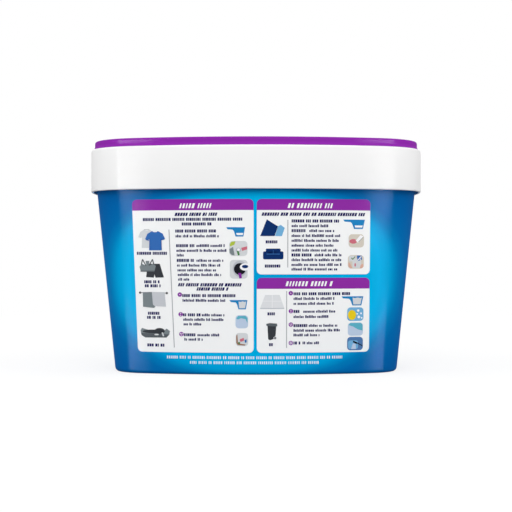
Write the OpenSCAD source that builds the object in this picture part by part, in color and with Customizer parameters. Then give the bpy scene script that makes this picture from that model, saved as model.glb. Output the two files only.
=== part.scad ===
// Stain remover powder tub: a drafted tub with rounded corners and a wrap-around label film,
// a push-fit collar, a flip lid on a film hinge, and inside it the powder and a measuring scoop.
// X runs across the width, the long face with the printed panels looks toward -Y, and Z is up.
// The plan outline of every wall is the same chain of eight tangent arcs, set in by an inset.

/* [Outline] */
// Width over the collar
outline_w = 226; // [214:1:238]
// Depth over the collar
outline_d = 164; // [152:1:176]
// Radius of the two long faces
face_r = 270; // [240:5:320]
// Radius of the two short ends
end_r = 240; // [200:5:300]
// Radius of the four corners, measured on the collar
corner_r = 42; // [38:1:48]

/* [Tub] */
// Height of the collar's top above the ground
collar_top = 148; // [138:1:160]
// Inset of the tub's wall where it leaves the collar
wall_inset_top = 4; // [3.8:0.1:4.6]
// Draft angle of the wall
draft = 5.85; // [5:0.05:6.5]
// Thickness of the moulded wall
tub_wall = 1.4; // [1:0.1:2]
// Thickness of the floor
floor_t = 1.6; // [1:0.1:3]
// Height of the floor's underside above the ground
foot_h = 2.2; // [1:0.1:4]
// Width of the flat foot ring
foot_w = 4.5; // [3:0.1:6]
// Radius of the bottom edge
base_r = 2.5; // [1:0.1:4]
// Depth of the snap bead round the neck
snap_d = 0.9; // [0.5:0.1:1]
// Distance of the snap bead below the tub's rim
snap_drop = 8; // [6:0.5:10]

/* [Label] */
// Thickness of the label film
film_t = 0.25; // [0.1:0.05:0.4]
// Height of the film's lower edge
film_bottom = 2.6; // [2.4:0.1:8]
// How far the film reaches up under the skirt
film_tuck = 3; // [1:0.5:5]
// Thickness of a printed layer
print_t = 0.16; // [0.06:0.02:0.2]
// Left edge of the panels at their top
panel_left = -80.3; // [-82:0.1:-76]
// How far that edge leans in on its way down
panel_lean = 2.9; // [0:0.1:4]
// Right edge of the panels
panel_right = 73.9; // [68:0.1:78]
// Top edge of the panels
panel_top = 113.5; // [108:0.5:115]
// Bottom edge of the panels
panel_bottom = 14.5; // [10:0.1:20]
// Middle of the strip between the left and right panels
column_x = -0.5; // [-6:0.5:6]
// Width of that strip
column_gap = 2; // [1:0.1:4]
// Middle of the strip between the two right panels
row_z = 64.1; // [55:0.1:70]
// Width of that strip
row_gap = 2.2; // [1:0.1:4]
// Height of the purple heading bands
band_h = 7.1; // [5:0.1:9]
// Corner radius of the panels
panel_r = 3; // [1:0.1:5]
// Height of a row of small print
text_h = 1.6; // [1:0.1:2.2]
// Distance from one row to the next
text_pitch = 3.1; // [2.6:0.1:3.6]
// Height of a title in its band
title_h = 3.6; // [2:0.1:4.4]

/* [Collar] */
// Height of the collar's skirt
collar_h = 28; // [24:1:34]
// Thickness of the skirt
skirt_t = 1.6; // [1.2:0.1:1.8]
// Radius of the collar's upper edge
shoulder_r = 1.4; // [0.8:0.1:1.5]
// Radius of the collar's lower edge
hem_r = 0.6; // [0.3:0.1:0.7]
// Thickness of the deck that the lid closes on
deck_t = 1.8; // [1.2:0.1:2.5]
// Thickness of the ring round the mouth
mouth_t = 1.4; // [1:0.1:2]
// Depth of the ring round the mouth
mouth_h = 10; // [6:1:16]
// Radius of the thumb recess in the front of the skirt
thumb_r = 14; // [10:1:18]
// Height of the centre of the thumb recess above the collar
thumb_rise = 6; // [4:1:8]
// Depth of the thumb recess into the skirt
thumb_d = 0.9; // [0.4:0.1:1]

/* [Lid] */
// Height of the lid above the collar
lid_h = 5.3; // [4.6:0.1:8]
// Inset of the lid's lower edge
lid_inset = 1.5; // [1.5:0.1:2.2]
// How far the lid's side draws in above its lower edge
lid_waist = 1; // [0.4:0.1:1.4]
// Radius of the lid's upper edge
lid_r = 1.3; // [0.8:0.1:1.8]
// Thickness of the lid
lid_t = 1.4; // [1:0.1:1.8]
// Width of the raised rim on top of the lid
rim_w = 6; // [4:0.5:10]
// Depth of the stacking recess in the lid's top
recess_d = 2; // [1:0.1:2.4]
// Depth of the plug ring under the lid
plug_h = 3; // [2:0.1:5]
// Half angle of the thumb lip, seen from the centre of the front face's arc
lip_angle = 3; // [2:0.1:4]
// Thickness of the thumb lip
lip_t = 1.8; // [1.2:0.1:2.4]
// Width of the film hinge
hinge_w = 30; // [20:1:60]
// Depth of the hinge strap under the collar's top
strap_h = 8; // [5:0.5:9]
// Thickness of the hinge strap
strap_t = 1; // [0.7:0.1:1.2]

/* [Contents] */
// Height of the powder's top above the ground
fill_z = 96; // [60:1:98]
// Radius of the scoop's mouth
scoop_r = 24; // [18:1:27]
// How much smaller the scoop's bottom is
scoop_taper = 4; // [1:0.5:8]
// Height of the scoop's cup
scoop_h = 36; // [24:1:42]
// Thickness of the scoop's wall
scoop_wall = 1.2; // [0.8:0.1:2]
// Length of the scoop's handle beyond its rim
handle_l = 46; // [30:1:52]
// Width of the scoop's handle
handle_w = 14; // [10:1:20]
// Thickness of the scoop's handle
handle_t = 2; // [1.4:0.1:3]
// Distance of the scoop's middle from the left end of the outline
scoop_x = 55; // [50:1:110]
// Distance of the scoop's middle from the back of the outline
scoop_y = 60; // [48:1:62]

/* [Clearances] */
// Gap between the lid and the collar
lid_gap = 0.1; // [0.05:0.05:0.3]
// Gap round the plug ring in the mouth
plug_gap = 0.5; // [0.3:0.1:0.8]
// Gap between the collar's mouth ring and the tub's neck
neck_gap = 0.3; // [0.2:0.1:0.4]
// Gap under the label film and under each printed layer
layer_gap = 0.02; // [0.01:0.01:0.04]
// Gap between the powder and the wall
powder_gap = 0.3; // [0.1:0.1:0.6]
// Gap round the hinge strap in its slot
strap_gap = 0.15; // [0.1:0.05:0.2]

/* [Hidden] */
$fn = 144;
blue = [0.0, 0.56, 0.79];
deep_blue = [0.0, 0.33, 0.6];
purple = [0.53, 0.18, 0.65];
white = [0.93, 0.93, 0.94];
navy = [0.14, 0.15, 0.38];

// Centres and angles of the arcs: a corner arc touches a long face's arc and a short end's arc.
face_c = [0, outline_d / 2 - face_r];
end_c = [outline_w / 2 - end_r, 0];
centre_gap = norm(end_c - face_c);
to_end = (end_c - face_c) / centre_gap;
along = ((face_r - corner_r) ^ 2 - (end_r - corner_r) ^ 2 + centre_gap ^ 2) / (2 * centre_gap);
across = sqrt((face_r - corner_r) ^ 2 - along ^ 2);
corner_c = face_c + along * to_end + across * [to_end.y, -to_end.x];
face_a = atan2(corner_c.x, corner_c.y - face_c.y);
end_a = atan2(corner_c.y, corner_c.x - end_c.x);
corner_a = 90 - face_a - end_a;
// Each arc is [centre, radius, start angle, sweep], counterclockwise from the +X end.
arcs = [
    [end_c, end_r, -end_a, 2 * end_a],
    [corner_c, corner_r, end_a, corner_a],
    [face_c, face_r, 90 - face_a, 2 * face_a],
    [[-corner_c.x, corner_c.y], corner_r, 90 + face_a, corner_a],
    [-end_c, end_r, 180 - end_a, 2 * end_a],
    [-corner_c, corner_r, 180 + end_a, corner_a],
    [-face_c, face_r, 270 - face_a, 2 * face_a],
    [[corner_c.x, -corner_c.y], corner_r, 270 + face_a, corner_a]
];
printed_arcs = [arcs[5], arcs[6], arcs[7]];
corner_lap = 0.4;
corner_hair = 0.01;

// Heights and insets that follow from the driving sizes.
skirt_z = collar_top - collar_h;
film_top = skirt_z + film_tuck;
rim_z = collar_top - deck_t;
lean = tan(draft);
function wall_inset(z) = wall_inset_top + (skirt_z - z) * lean;
neck_inset = wall_inset(film_top);
neck_inner = neck_inset + film_t + tub_wall;
function inner_inset(z) = z > film_top ? neck_inner : wall_inset(z) + film_t + tub_wall;
floor_z = foot_h + floor_t;
base_inset = wall_inset(0) - base_r * lean + base_r / cos(draft);
core_lap = 8;
snap_z = rim_z - snap_drop;
snap_w = 1.2;
snap_ramp = 3.2;
snap_gap = 0.3;
mouth_outer = neck_inner + neck_gap;
mouth_inner = mouth_outer + mouth_t;
lid_z = collar_top + lid_gap;
lid_top = lid_z + lid_h;
plug_outer = mouth_inner + plug_gap;
plug_inner = plug_outer + lid_t;
plug_z = collar_top - plug_h;
side_inset = lid_inset + lid_waist;
rim_inner = max(side_inset + lid_r + rim_w, plug_inner + 0.5);
plate_top = lid_top - recess_d;
strap_inset = skirt_t + 2 * strap_gap;
hinge_a = asin(hinge_w / 2 / (face_r - strap_inset));
scoop_pos = [scoop_x - outline_w / 2, scoop_y - outline_d / 2, fill_z];
column_left = column_x - column_gap / 2;
column_right = column_x + column_gap / 2;
lower_top = row_z - row_gap / 2;

// Paragraphs of small print: [left, first row, width, rows], across and down from a panel's top left corner.
left_text = [
    [28, 9.7, 28, 1], [7, 12.9, 66, 1], [32, 15.9, 20, 1],
    [28.5, 20.4, 28, 2], [29, 29.8, 32, 3], [29.3, 39.3, 30, 5],
    [30, 55, 43, 1], [42, 57.8, 21, 1],
    [33, 62, 30, 2], [33, 74.5, 27, 3], [33.5, 87.5, 24, 2],
    [4, 34.7, 20, 1], [8, 53.2, 11, 2], [10, 73.7, 9, 2], [9.5, 94.5, 12, 1]
];
upper_text = [[3.3, 9.7, 67, 1], [22.3, 14, 31, 11], [5.7, 27.4, 8, 1], [5.2, 42.9, 11, 1]];
lower_text = [[23.7, 10.3, 29, 3], [23.7, 21.7, 25, 2], [23.7, 30.9, 25, 3], [23.7, 42.2, 18, 1], [7, 23.2, 6, 1], [8, 43.2, 4, 1]];
// Titles in the bands: the same, with one row each.
left_title = [31.4, 4.2, 20, 1];
upper_title = [20, 4.2, 30, 1];
lower_title = [19, 4, 31, 1];
// Thumbnails: [left, top, width, height], from the same corners.
left_thumbs = [[63, 27, 12, 9.5], [63.5, 39, 12, 12], [67, 75, 8, 8.5], [67, 86, 8, 8.5]];
upper_thumbs = [[59, 22.5, 10.5, 8.5], [59, 36, 10.5, 8.5]];
lower_thumbs = [[59, 19.5, 10.5, 8.5], [59, 29.2, 10.5, 8.5], [59, 38.7, 10.5, 8.5]];
// Pictured scoops: [left, top, width].
left_cups = [[61, 18, 12], [63, 65, 12]];
upper_cups = [[55.5, 13, 14]];
lower_cups = [[55, 12, 14]];

// Points of a circular arc from one angle to another.
function round_edge(c, r, from, to, n = 6) =
    [for (k = [0:n]) c + r * [cos(from + (to - from) * k / n), sin(from + (to - from) * k / n)]];

// The plan outline as points, set in by an inset.
function outline_points(inset, n = 6) =
    [for (a = arcs) for (k = [0:n - 1]) a[0] + (a[1] - inset) * [cos(a[2] + a[3] * k / n), sin(a[2] + a[3] * k / n)]];

// Sweeps a section round the outline: its X is minus the inset, and its Y is the height.
// A corner runs a little way into its neighbours, a hair inside them, so that all of them fuse.
module ring(path = arcs) {
    for (a = path) {
        lap = a[1] == corner_r ? corner_lap : 0;
        hair = a[1] == corner_r ? corner_hair : 0;
        translate(a[0])
            rotate_extrude(angle = a[3] + 2 * lap, start = a[2] - lap)
                translate([a[1] - hair, 0])
                    children();
    }
}

// Sweeps a section along the middle of one long face: side is 90 for the front and 270 for the back.
module face_strip(side, half_angle) {
    translate(side == 90 ? face_c : -face_c)
        rotate_extrude(angle = 2 * half_angle, start = side - half_angle)
            translate([face_r, 0])
                children();
}

// A flat plate that fills the outline inside an inset.
module plate(inset, z0, z1) {
    translate([0, 0, z0])
        linear_extrude(height = z1 - z0)
            polygon(outline_points(inset));
}

module tub_section() {
    edge = round_edge([-base_inset, base_r], base_r, -90, -draft);
    polygon(concat(
        edge,
        [
            [-wall_inset(film_bottom), film_bottom],
            [-wall_inset(film_bottom) - film_t - layer_gap, film_bottom],
            [-neck_inset - film_t - layer_gap, film_top],
            [-neck_inset, film_top],
            [-neck_inset, snap_z],
            [-neck_inset + snap_d, snap_z],
            [-neck_inset + snap_d, snap_z + snap_w],
            [-neck_inset, snap_z + snap_ramp],
            [-neck_inset, rim_z],
            [-neck_inner, rim_z],
            [-neck_inner, film_top],
            [-inner_inset(floor_z), floor_z],
            [-inner_inset(floor_z) - core_lap, floor_z],
            [-inner_inset(floor_z) - core_lap, foot_h],
            [-base_inset - foot_w, foot_h],
            [-base_inset - foot_w, 0]
        ]
    ));
}

module tub() {
    color(deep_blue) {
        ring() tub_section();
        plate(inner_inset(floor_z) + core_lap / 2, foot_h, floor_z);
    }
}

// A thin layer on the wall between two heights: lift is how far it stands off the bare wall.
module wall_layer(lift, thick, z0, z1) {
    polygon([
        [-wall_inset(z0) + lift, z0],
        [-wall_inset(z0) + lift + thick, z0],
        [-wall_inset(z1) + lift + thick, z1],
        [-wall_inset(z1) + lift, z1]
    ]);
}

module label_film() {
    color(blue)
        ring() wall_layer(-film_t, film_t, film_bottom, film_top);
}

// Cuts a printed layer to a flat drawing that is seen from the back, X across and Y up.
module printed(level) {
    intersection() {
        ring(printed_arcs)
            wall_layer(layer_gap + level * (print_t + layer_gap), print_t, film_bottom + 1, skirt_z - 1);
        rotate([90, 0, 0])
            linear_extrude(height = outline_d)
                children();
    }
}

// Outline of a panel with round corners: its left edge may lean in on its way down.
module panel_shape(left_top, left_bottom, right, bottom, top) {
    r = panel_r;
    polygon(concat(
        round_edge([right - r, top - r], r, 0, 90),
        round_edge([left_top + r, top - r], r, 90, 180),
        round_edge([left_bottom + r, bottom + r], r, 180, 270),
        round_edge([right - r, bottom + r], r, 270, 360)
    ));
}

module left_panel() {
    panel_shape(panel_left, panel_left + panel_lean, column_left, panel_bottom, panel_top);
}

module upper_panel() {
    panel_shape(column_right, column_right, panel_right, row_z + row_gap / 2, panel_top);
}

module lower_panel() {
    panel_shape(column_right, column_right, panel_right, panel_bottom, lower_top);
}

// Places its children at the top left corner of a panel.
module on_left() {
    translate([panel_left, panel_top]) children();
}

module on_upper() {
    translate([column_right, panel_top]) children();
}

module on_lower() {
    translate([column_right, lower_top]) children();
}

// Bars that stand for rows of print: the last row of a long paragraph is shorter.
module rows(paragraph, height) {
    count = paragraph[3];
    for (k = [0:count - 1]) {
        width = count > 1 && k == count - 1 ? paragraph[2] * 0.6 : paragraph[2];
        translate([paragraph[0], -paragraph[1] - k * text_pitch - height / 2])
            square([width, height]);
    }
}

module rounded_square(w, h, r) {
    translate([r, -r])
        polygon(concat(
            round_edge([w - 2 * r, 0], r, 0, 90),
            round_edge([0, 0], r, 90, 180),
            round_edge([0, 2 * r - h], r, 180, 270),
            round_edge([w - 2 * r, 2 * r - h], r, 270, 360)
        ));
}

// The part of a panel that the heading band covers.
module band_area(top) {
    translate([panel_left - 1, top - band_h])
        square([panel_right - panel_left + 2, band_h + 1]);
}

module info_panels() {
    color(white) {
        printed(0) {
            difference() {
                left_panel();
                band_area(panel_top);
            }
            difference() {
                upper_panel();
                band_area(panel_top);
            }
            difference() {
                lower_panel();
                band_area(lower_top);
            }
        }
    }
}

module header_bands() {
    color(purple) {
        printed(0) {
            intersection() {
                left_panel();
                band_area(panel_top);
            }
            intersection() {
                upper_panel();
                band_area(panel_top);
            }
            intersection() {
                lower_panel();
                band_area(lower_top);
            }
        }
    }
}

module text_rows() {
    color(navy)
        printed(1) {
            on_left() for (p = left_text) rows(p, text_h);
            on_upper() for (p = upper_text) rows(p, text_h);
            on_lower() for (p = lower_text) rows(p, text_h);
        }
}

// White titles in the bands, and two white rows on the film under the panels.
module title_rows() {
    footer_w = 2 * panel_right * 0.78;
    color(white) {
        printed(1) {
            on_left() rows(left_title, title_h);
            on_upper() rows(upper_title, title_h);
            on_lower() rows(lower_title, title_h);
        }
        printed(0) {
            translate([0, panel_bottom]) {
                rows([-footer_w / 2, 3.2, footer_w, 1], text_h);
                rows([-footer_w * 0.37, 6.5, footer_w * 0.74, 1], text_h);
            }
        }
    }
}

// Scoops seen from the side, with the handle to the left.
module pictured_cups(list) {
    for (c = list) {
        w = c[2];
        translate([c.x, -c.y])
            polygon([
                [0, 0], [w, 0], [w * 0.91, -w / 2], [w * 0.47, -w / 2],
                [w * 0.36, -w * 0.1], [w * 0.08, -w * 0.1]
            ]);
    }
}

module pictured_thumbs(list) {
    for (t = list)
        translate([t.x, -t.y])
            rounded_square(t[2], t[3], 2);
}

module pictured_shirt() {
    polygon([
        [13, -20.3], [16.8, -20.3], [20.5, -22], [21.7, -25.4], [19, -26],
        [19.3, -32.8], [11.5, -32.8], [11, -26], [8.4, -25.4], [9.4, -22]
    ]);
}

module pictured_shorts() {
    polygon([[10, -41.5], [18, -41.5], [20.7, -50.5], [15.5, -50.5], [14.5, -48], [13.5, -50.5], [8.8, -50.5]]);
}

module pictures() {
    color(blue)
        printed(1) {
            on_left() {
                pictured_shirt();
                pictured_shorts();
                // Towels and a pet bed
                translate([6.6, -59.8]) rounded_square(15.2, 9.5, 0.5);
                translate([5, -83.5]) rounded_square(19.5, 6.5, 2);
                pictured_cups(left_cups);
                pictured_thumbs(left_thumbs);
            }
            on_upper() {
                // A rug and a sofa
                polygon([[6.4, -13], [13.6, -17.5], [17.8, -18.4], [16, -23.7], [2.2, -23.7]]);
                translate([4.2, -31.7]) rounded_square(12.7, 6, 1);
                pictured_cups(upper_cups);
                pictured_thumbs(upper_thumbs);
            }
            on_lower() {
                // A tiled floor and a bin
                polygon([[5.4, -11], [14.7, -11], [17.7, -20], [2.2, -20]]);
                translate([6.5, -29.7]) rounded_square(6.5, 10.7, 0.6);
                pictured_cups(lower_cups);
                pictured_thumbs(lower_thumbs);
            }
        }
}

module collar_section() {
    catch_z = snap_z - snap_gap;
    catch_inset = neck_inset - snap_gap;
    polygon(concat(
        round_edge([-hem_r, skirt_z + hem_r], hem_r, -90, 0),
        round_edge([-shoulder_r, collar_top - shoulder_r], shoulder_r, 0, 90),
        [
            [-mouth_inner, collar_top],
            [-mouth_inner, collar_top - mouth_h],
            [-mouth_outer, collar_top - mouth_h],
            [-mouth_outer, rim_z],
            [-skirt_t, rim_z],
            [-skirt_t, catch_z],
            [-catch_inset, catch_z],
            [-catch_inset, catch_z - snap_w],
            [-skirt_t, catch_z - snap_ramp],
            [-skirt_t, skirt_z]
        ]
    ));
}

module collar() {
    slot_a = hinge_a * (hinge_w + 2 * strap_gap) / hinge_w;
    color(white)
        difference() {
            ring() collar_section();
            // Slot in the deck for the hinge strap
            face_strip(270, slot_a)
                translate([-strap_inset - strap_t - strap_gap, rim_z - 1])
                    square([strap_t + 2 * strap_gap, deck_t + 2]);
            // Thumb recess in the front of the skirt
            intersection() {
                face_strip(90, 2 * lip_angle)
                    translate([-thumb_d, collar_top - thumb_r])
                        square([thumb_d + 1, thumb_r + 1]);
                translate([0, 0, collar_top + thumb_rise])
                    rotate([-90, 0, 0])
                        cylinder(r = thumb_r, h = outline_d);
            }
        }
}

module hinge_strap() {
    barb = 0.4;
    color(purple)
        face_strip(270, hinge_a)
            polygon([
                [-strap_inset, collar_top],
                [-strap_inset - strap_t, collar_top],
                [-strap_inset - strap_t, rim_z - strap_gap],
                [-strap_inset - strap_t - barb, rim_z - strap_gap - barb],
                [-strap_inset - strap_t, rim_z - 4 * barb],
                [-strap_inset - strap_t, collar_top - strap_h],
                [-strap_inset, collar_top - strap_h]
            ]);
}

module lid_section() {
    rim_under = lid_top - lid_t;
    flare_h = lid_h * 0.4;
    // The side draws in above its flared lower edge, quickly at first, and then stands upright.
    flare_steps = [for (k = [0:5]) [-lid_inset - lid_waist * sin(k * 18), lid_z + flare_h * k / 5]];
    polygon(concat(
        flare_steps,
        round_edge([-side_inset - lid_r, lid_top - lid_r], lid_r, 0, 90),
        [
            [-rim_inner, lid_top],
            [-rim_inner - recess_d / 2, plate_top],
            [-rim_inner - core_lap, plate_top],
            [-rim_inner - core_lap, plate_top - lid_t],
            [-plug_inner, plate_top - lid_t],
            [-plug_inner, plug_z],
            [-plug_outer, plug_z],
            [-plug_outer, rim_under],
            [-side_inset - lid_t, rim_under],
            [-side_inset - lid_t, lid_z + flare_h],
            [-lid_inset - lid_t, lid_z]
        ]
    ));
}

module lid() {
    color(purple) {
        ring() lid_section();
        plate(rim_inner + core_lap / 2, plate_top - lid_t, plate_top);
        // Thumb lip over the recess in the collar
        face_strip(90, lip_angle)
            translate([-lid_inset - lid_t, lid_z])
                square([lid_inset + lid_t - 0.1, lip_t]);
    }
}

module powder() {
    z0 = floor_z;
    lap = inner_inset(z0) + powder_gap + core_lap;
    color([0.95, 0.96, 0.97]) {
        ring()
            polygon([
                [-inner_inset(z0) - powder_gap, z0],
                [-inner_inset(fill_z) - powder_gap, fill_z],
                [-lap, fill_z],
                [-lap, z0]
            ]);
        plate(lap - core_lap / 2, z0, fill_z);
    }
}

module scoop() {
    lip = 1.6;
    color([0.15, 0.5, 0.85])
        translate(scoop_pos) {
            rotate_extrude()
                polygon([
                    [0, 0],
                    [scoop_r - scoop_taper, 0],
                    [scoop_r, scoop_h - handle_t],
                    [scoop_r + lip, scoop_h - handle_t],
                    [scoop_r + lip, scoop_h],
                    [scoop_r - scoop_wall, scoop_h],
                    [scoop_r - scoop_taper - scoop_wall, scoop_wall],
                    [0, scoop_wall]
                ]);
            difference() {
                translate([0, 0, scoop_h - handle_t])
                    linear_extrude(height = handle_t) {
                        translate([-handle_w / 2, 0])
                            square([handle_w, scoop_r + handle_l - handle_w / 2]);
                        translate([0, scoop_r + handle_l - handle_w / 2])
                            circle(d = handle_w);
                    }
                translate([0, 0, -1])
                    cylinder(r = scoop_r, h = scoop_h + 2);
                translate([0, scoop_r + handle_l - handle_w / 2, -1])
                    cylinder(d = handle_w / 3, h = scoop_h + 2);
            }
        }
}

tub();
label_film();
info_panels();
header_bands();
text_rows();
title_rows();
pictures();
collar();
hinge_strap();
lid();
powder();
scoop();
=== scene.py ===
# Looks of the stain remover powder tub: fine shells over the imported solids, the printed
# label as thin layers on the back wall, procedural plastics, and a plain white studio.
# Lengths are in millimetres until a mesh is made. The printed face looks toward -Y.
import math
import random

import bmesh
import bpy
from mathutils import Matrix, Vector, noise


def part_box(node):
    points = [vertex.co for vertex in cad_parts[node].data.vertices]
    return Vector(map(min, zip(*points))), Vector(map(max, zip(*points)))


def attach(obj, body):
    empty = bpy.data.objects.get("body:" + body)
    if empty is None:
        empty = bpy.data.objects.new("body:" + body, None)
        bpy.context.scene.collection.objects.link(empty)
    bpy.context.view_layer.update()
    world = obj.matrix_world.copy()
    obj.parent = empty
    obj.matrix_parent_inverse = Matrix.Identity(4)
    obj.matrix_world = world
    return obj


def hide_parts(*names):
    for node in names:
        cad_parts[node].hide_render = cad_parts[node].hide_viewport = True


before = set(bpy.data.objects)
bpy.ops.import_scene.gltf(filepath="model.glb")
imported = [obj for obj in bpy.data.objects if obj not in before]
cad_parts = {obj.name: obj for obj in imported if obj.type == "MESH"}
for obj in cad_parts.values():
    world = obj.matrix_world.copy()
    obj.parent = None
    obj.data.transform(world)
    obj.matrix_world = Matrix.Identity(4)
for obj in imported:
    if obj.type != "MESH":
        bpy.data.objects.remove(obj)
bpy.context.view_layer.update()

MM = 0.001
TUB_BODY = "tub_body"
LID_BODY = "lid_body"


def node_box(name):
    """Lowest and highest corner of a CAD node, in millimetres."""
    low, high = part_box(name)
    return low / MM, high / MM


# Sizes that the frame gives
collar_low, collar_high = node_box("collar")
lid_high = node_box("lid")[1]
film_low, film_high = node_box("label_film")
panels_low = node_box("info_panels")[0]
bands_low, bands_high = node_box("header_bands")
tub_high = node_box("tub")[1]
powder_low, powder_high = node_box("powder")
scoop_low, scoop_high = node_box("scoop")
OUTLINE_W = collar_high.x - collar_low.x
OUTLINE_D = collar_high.y - collar_low.y
COLLAR_TOP = collar_high.z
SKIRT_Z = collar_low.z
FILM_TOP = film_high.z
FILM_BOTTOM = film_low.z
RIM_Z = tub_high.z
LID_TOP = lid_high.z
FLOOR_Z = powder_low.z
FILL_Z = powder_high.z
PANEL_LEFT = bands_low.x
PANEL_RIGHT = bands_high.x
PANEL_TOP = bands_high.z
PANEL_BOTTOM = panels_low.z

# Sizes that repeat the part's source
FACE_R = 270.0
END_R = 240.0
CORNER_R = 42.0
WALL_INSET_TOP = 4.0
DRAFT = math.radians(5.85)
TUB_WALL = 1.4
FOOT_H = 2.2
FOOT_W = 4.5
BASE_R = 2.5
SNAP_D = 0.9
SNAP_DROP = 8.0
SNAP_W = 1.2
SNAP_RAMP = 3.2
SNAP_GAP = 0.3
FILM_T = 0.25
LAYER_GAP = 0.02
PRINT_T = 0.16
PANEL_LEAN = 2.9
COLUMN_X = -0.5
COLUMN_GAP = 2.0
ROW_Z = 64.1
ROW_GAP = 2.2
BAND_H = 7.1
PANEL_R = 3.0
SKIRT_T = 1.6
SHOULDER_R = 1.4
HEM_R = 0.6
MOUTH_T = 1.4
MOUTH_H = 10.0
NECK_GAP = 0.3
THUMB_R = 14.0
THUMB_RISE = 6.0
THUMB_D = 0.9
LID_GAP = 0.1
LID_INSET = 1.5
LID_WAIST = 1.0
LID_R = 1.3
LID_T = 1.4
RIM_W = 6.0
RECESS_D = 2.0
PLUG_H = 3.0
PLUG_GAP = 0.5
LIP_ANGLE = 3.0
LIP_T = 1.8
LIP_INSET = 0.1
STRAP_T = 1.0
STRAP_GAP = 0.15
HINGE_W = 30.0
POWDER_GAP = 0.3
SCOOP_Y = -22.0
SCOOP_R = 24.0
SCOOP_TAPER = 4.0
SCOOP_WALL = 1.2
SCOOP_LIP = 1.6
HANDLE_L = 46.0
HANDLE_W = 14.0
HANDLE_T = 2.0
HANDLE_ROOT = 0.4

# How far a cutting form runs past what it cuts
CUT = 1.0


# Plan outline
def arc_chain():
    """The eight arcs of the outline as (centre, radius, start, sweep), in mm and radians."""
    face_c = Vector((0.0, OUTLINE_D / 2 - FACE_R))
    end_c = Vector((OUTLINE_W / 2 - END_R, 0.0))
    gap = (end_c - face_c).length
    to_end = (end_c - face_c) / gap
    along = ((FACE_R - CORNER_R) ** 2 - (END_R - CORNER_R) ** 2 + gap ** 2) / (2 * gap)
    across = math.sqrt((FACE_R - CORNER_R) ** 2 - along ** 2)
    corner = face_c + along * to_end + across * Vector((to_end.y, -to_end.x))
    face_a = math.atan2(corner.x, corner.y - face_c.y)
    end_a = math.atan2(corner.y, corner.x - end_c.x)
    corner_a = math.pi / 2 - face_a - end_a
    quarter = math.pi / 2
    return [
        (end_c, END_R, -end_a, 2 * end_a),
        (corner, CORNER_R, end_a, corner_a),
        (face_c, FACE_R, quarter - face_a, 2 * face_a),
        (Vector((-corner.x, corner.y)), CORNER_R, quarter + face_a, corner_a),
        (-end_c, END_R, 2 * quarter - end_a, 2 * end_a),
        (-corner, CORNER_R, 2 * quarter + end_a, corner_a),
        (-face_c, FACE_R, 3 * quarter - face_a, 2 * face_a),
        (Vector((corner.x, -corner.y)), CORNER_R, 3 * quarter + face_a, corner_a),
    ]


ARCS = arc_chain()
BACK_C, BACK_A = ARCS[6][0], ARCS[6][3] / 2
FRONT_C = ARCS[2][0]
BACK_CORNER = ARCS[7][0]
ARC_STEP = 2.6


def outline(inset):
    """Points of the outline set in by inset, counterclockwise, closed."""
    points = []
    for centre, radius, start, sweep in ARCS:
        steps = round(radius * sweep / ARC_STEP)
        for k in range(steps):
            angle = start + sweep * k / steps
            points.append(centre + (radius - inset) * Vector((math.cos(angle), math.sin(angle))))
    return points


def wall_inset(z):
    return WALL_INSET_TOP + (SKIRT_Z - z) * math.tan(DRAFT)


def rounded(inset, z, radius, start, end, steps=6):
    """Section points of a round edge: angles in degrees, 0 outward and 90 up."""
    points = []
    for k in range(steps + 1):
        angle = math.radians(start + (end - start) * k / steps)
        points.append((inset - radius * math.cos(angle), z + radius * math.sin(angle)))
    return points


def arc(x, z, radius, start, end, steps=6):
    """Points of a flat arc about (x, z), from start to end in degrees."""
    points = []
    for k in range(steps + 1):
        angle = math.radians(start + (end - start) * k / steps)
        points.append((x + radius * math.cos(angle), z + radius * math.sin(angle)))
    return points


def disc(x, z, radius, steps=24):
    return arc(x, z, radius, 0, 360 - 360 / steps, steps - 1)


# Mesh making
def new_mesh(name, verts, faces):
    """A mesh from millimetre points."""
    mesh = bpy.data.meshes.new(name)
    mesh.from_pydata([Vector(v) * MM for v in verts], [], faces)
    return mesh


def face_outward(mesh):
    fix = bmesh.new()
    fix.from_mesh(mesh)
    bmesh.ops.recalc_face_normals(fix, faces=fix.faces)
    fix.to_mesh(mesh)
    fix.free()


def add_object(name, data):
    """Puts a mesh, a lamp or a camera in the scene."""
    thing = bpy.data.objects.new(name, data)
    bpy.context.scene.collection.objects.link(thing)
    return thing


def add_piece(name, mesh, material, body=TUB_BODY, sharp=32):
    """Shades a closed mesh and makes it a piece that rides on its body."""
    face_outward(mesh)
    mesh.shade_smooth()
    mesh.set_sharp_from_angle(angle=math.radians(sharp))
    mesh.materials.append(material)
    piece = add_object(name, mesh)
    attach(piece, body)
    return piece


def ring_faces(low, high, count):
    """Faces between two rings of points, from the number of the first point of each."""
    nexts = [(i, (i + 1) % count) for i in range(count)]
    return [(low + i, low + k, high + k, high + i) for i, k in nexts]


def swept(section, closed):
    """Sweeps a section of (inset, z) points round the outline. An open one gets a flat cap at each end."""
    rings = [outline(inset) for inset, _ in section]
    count = len(rings[0])
    verts = [(p.x, p.y, z) for ring, (_, z) in zip(rings, section) for p in ring]
    faces = []
    spans = len(section) if closed else len(section) - 1
    for j in range(spans):
        faces += ring_faces(j * count, (j + 1) % len(section) * count, count)
    if not closed:
        faces.append(tuple(reversed(range(count))))
        last = (len(section) - 1) * count
        faces.append(tuple(range(last, last + count)))
    return verts, faces


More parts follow.
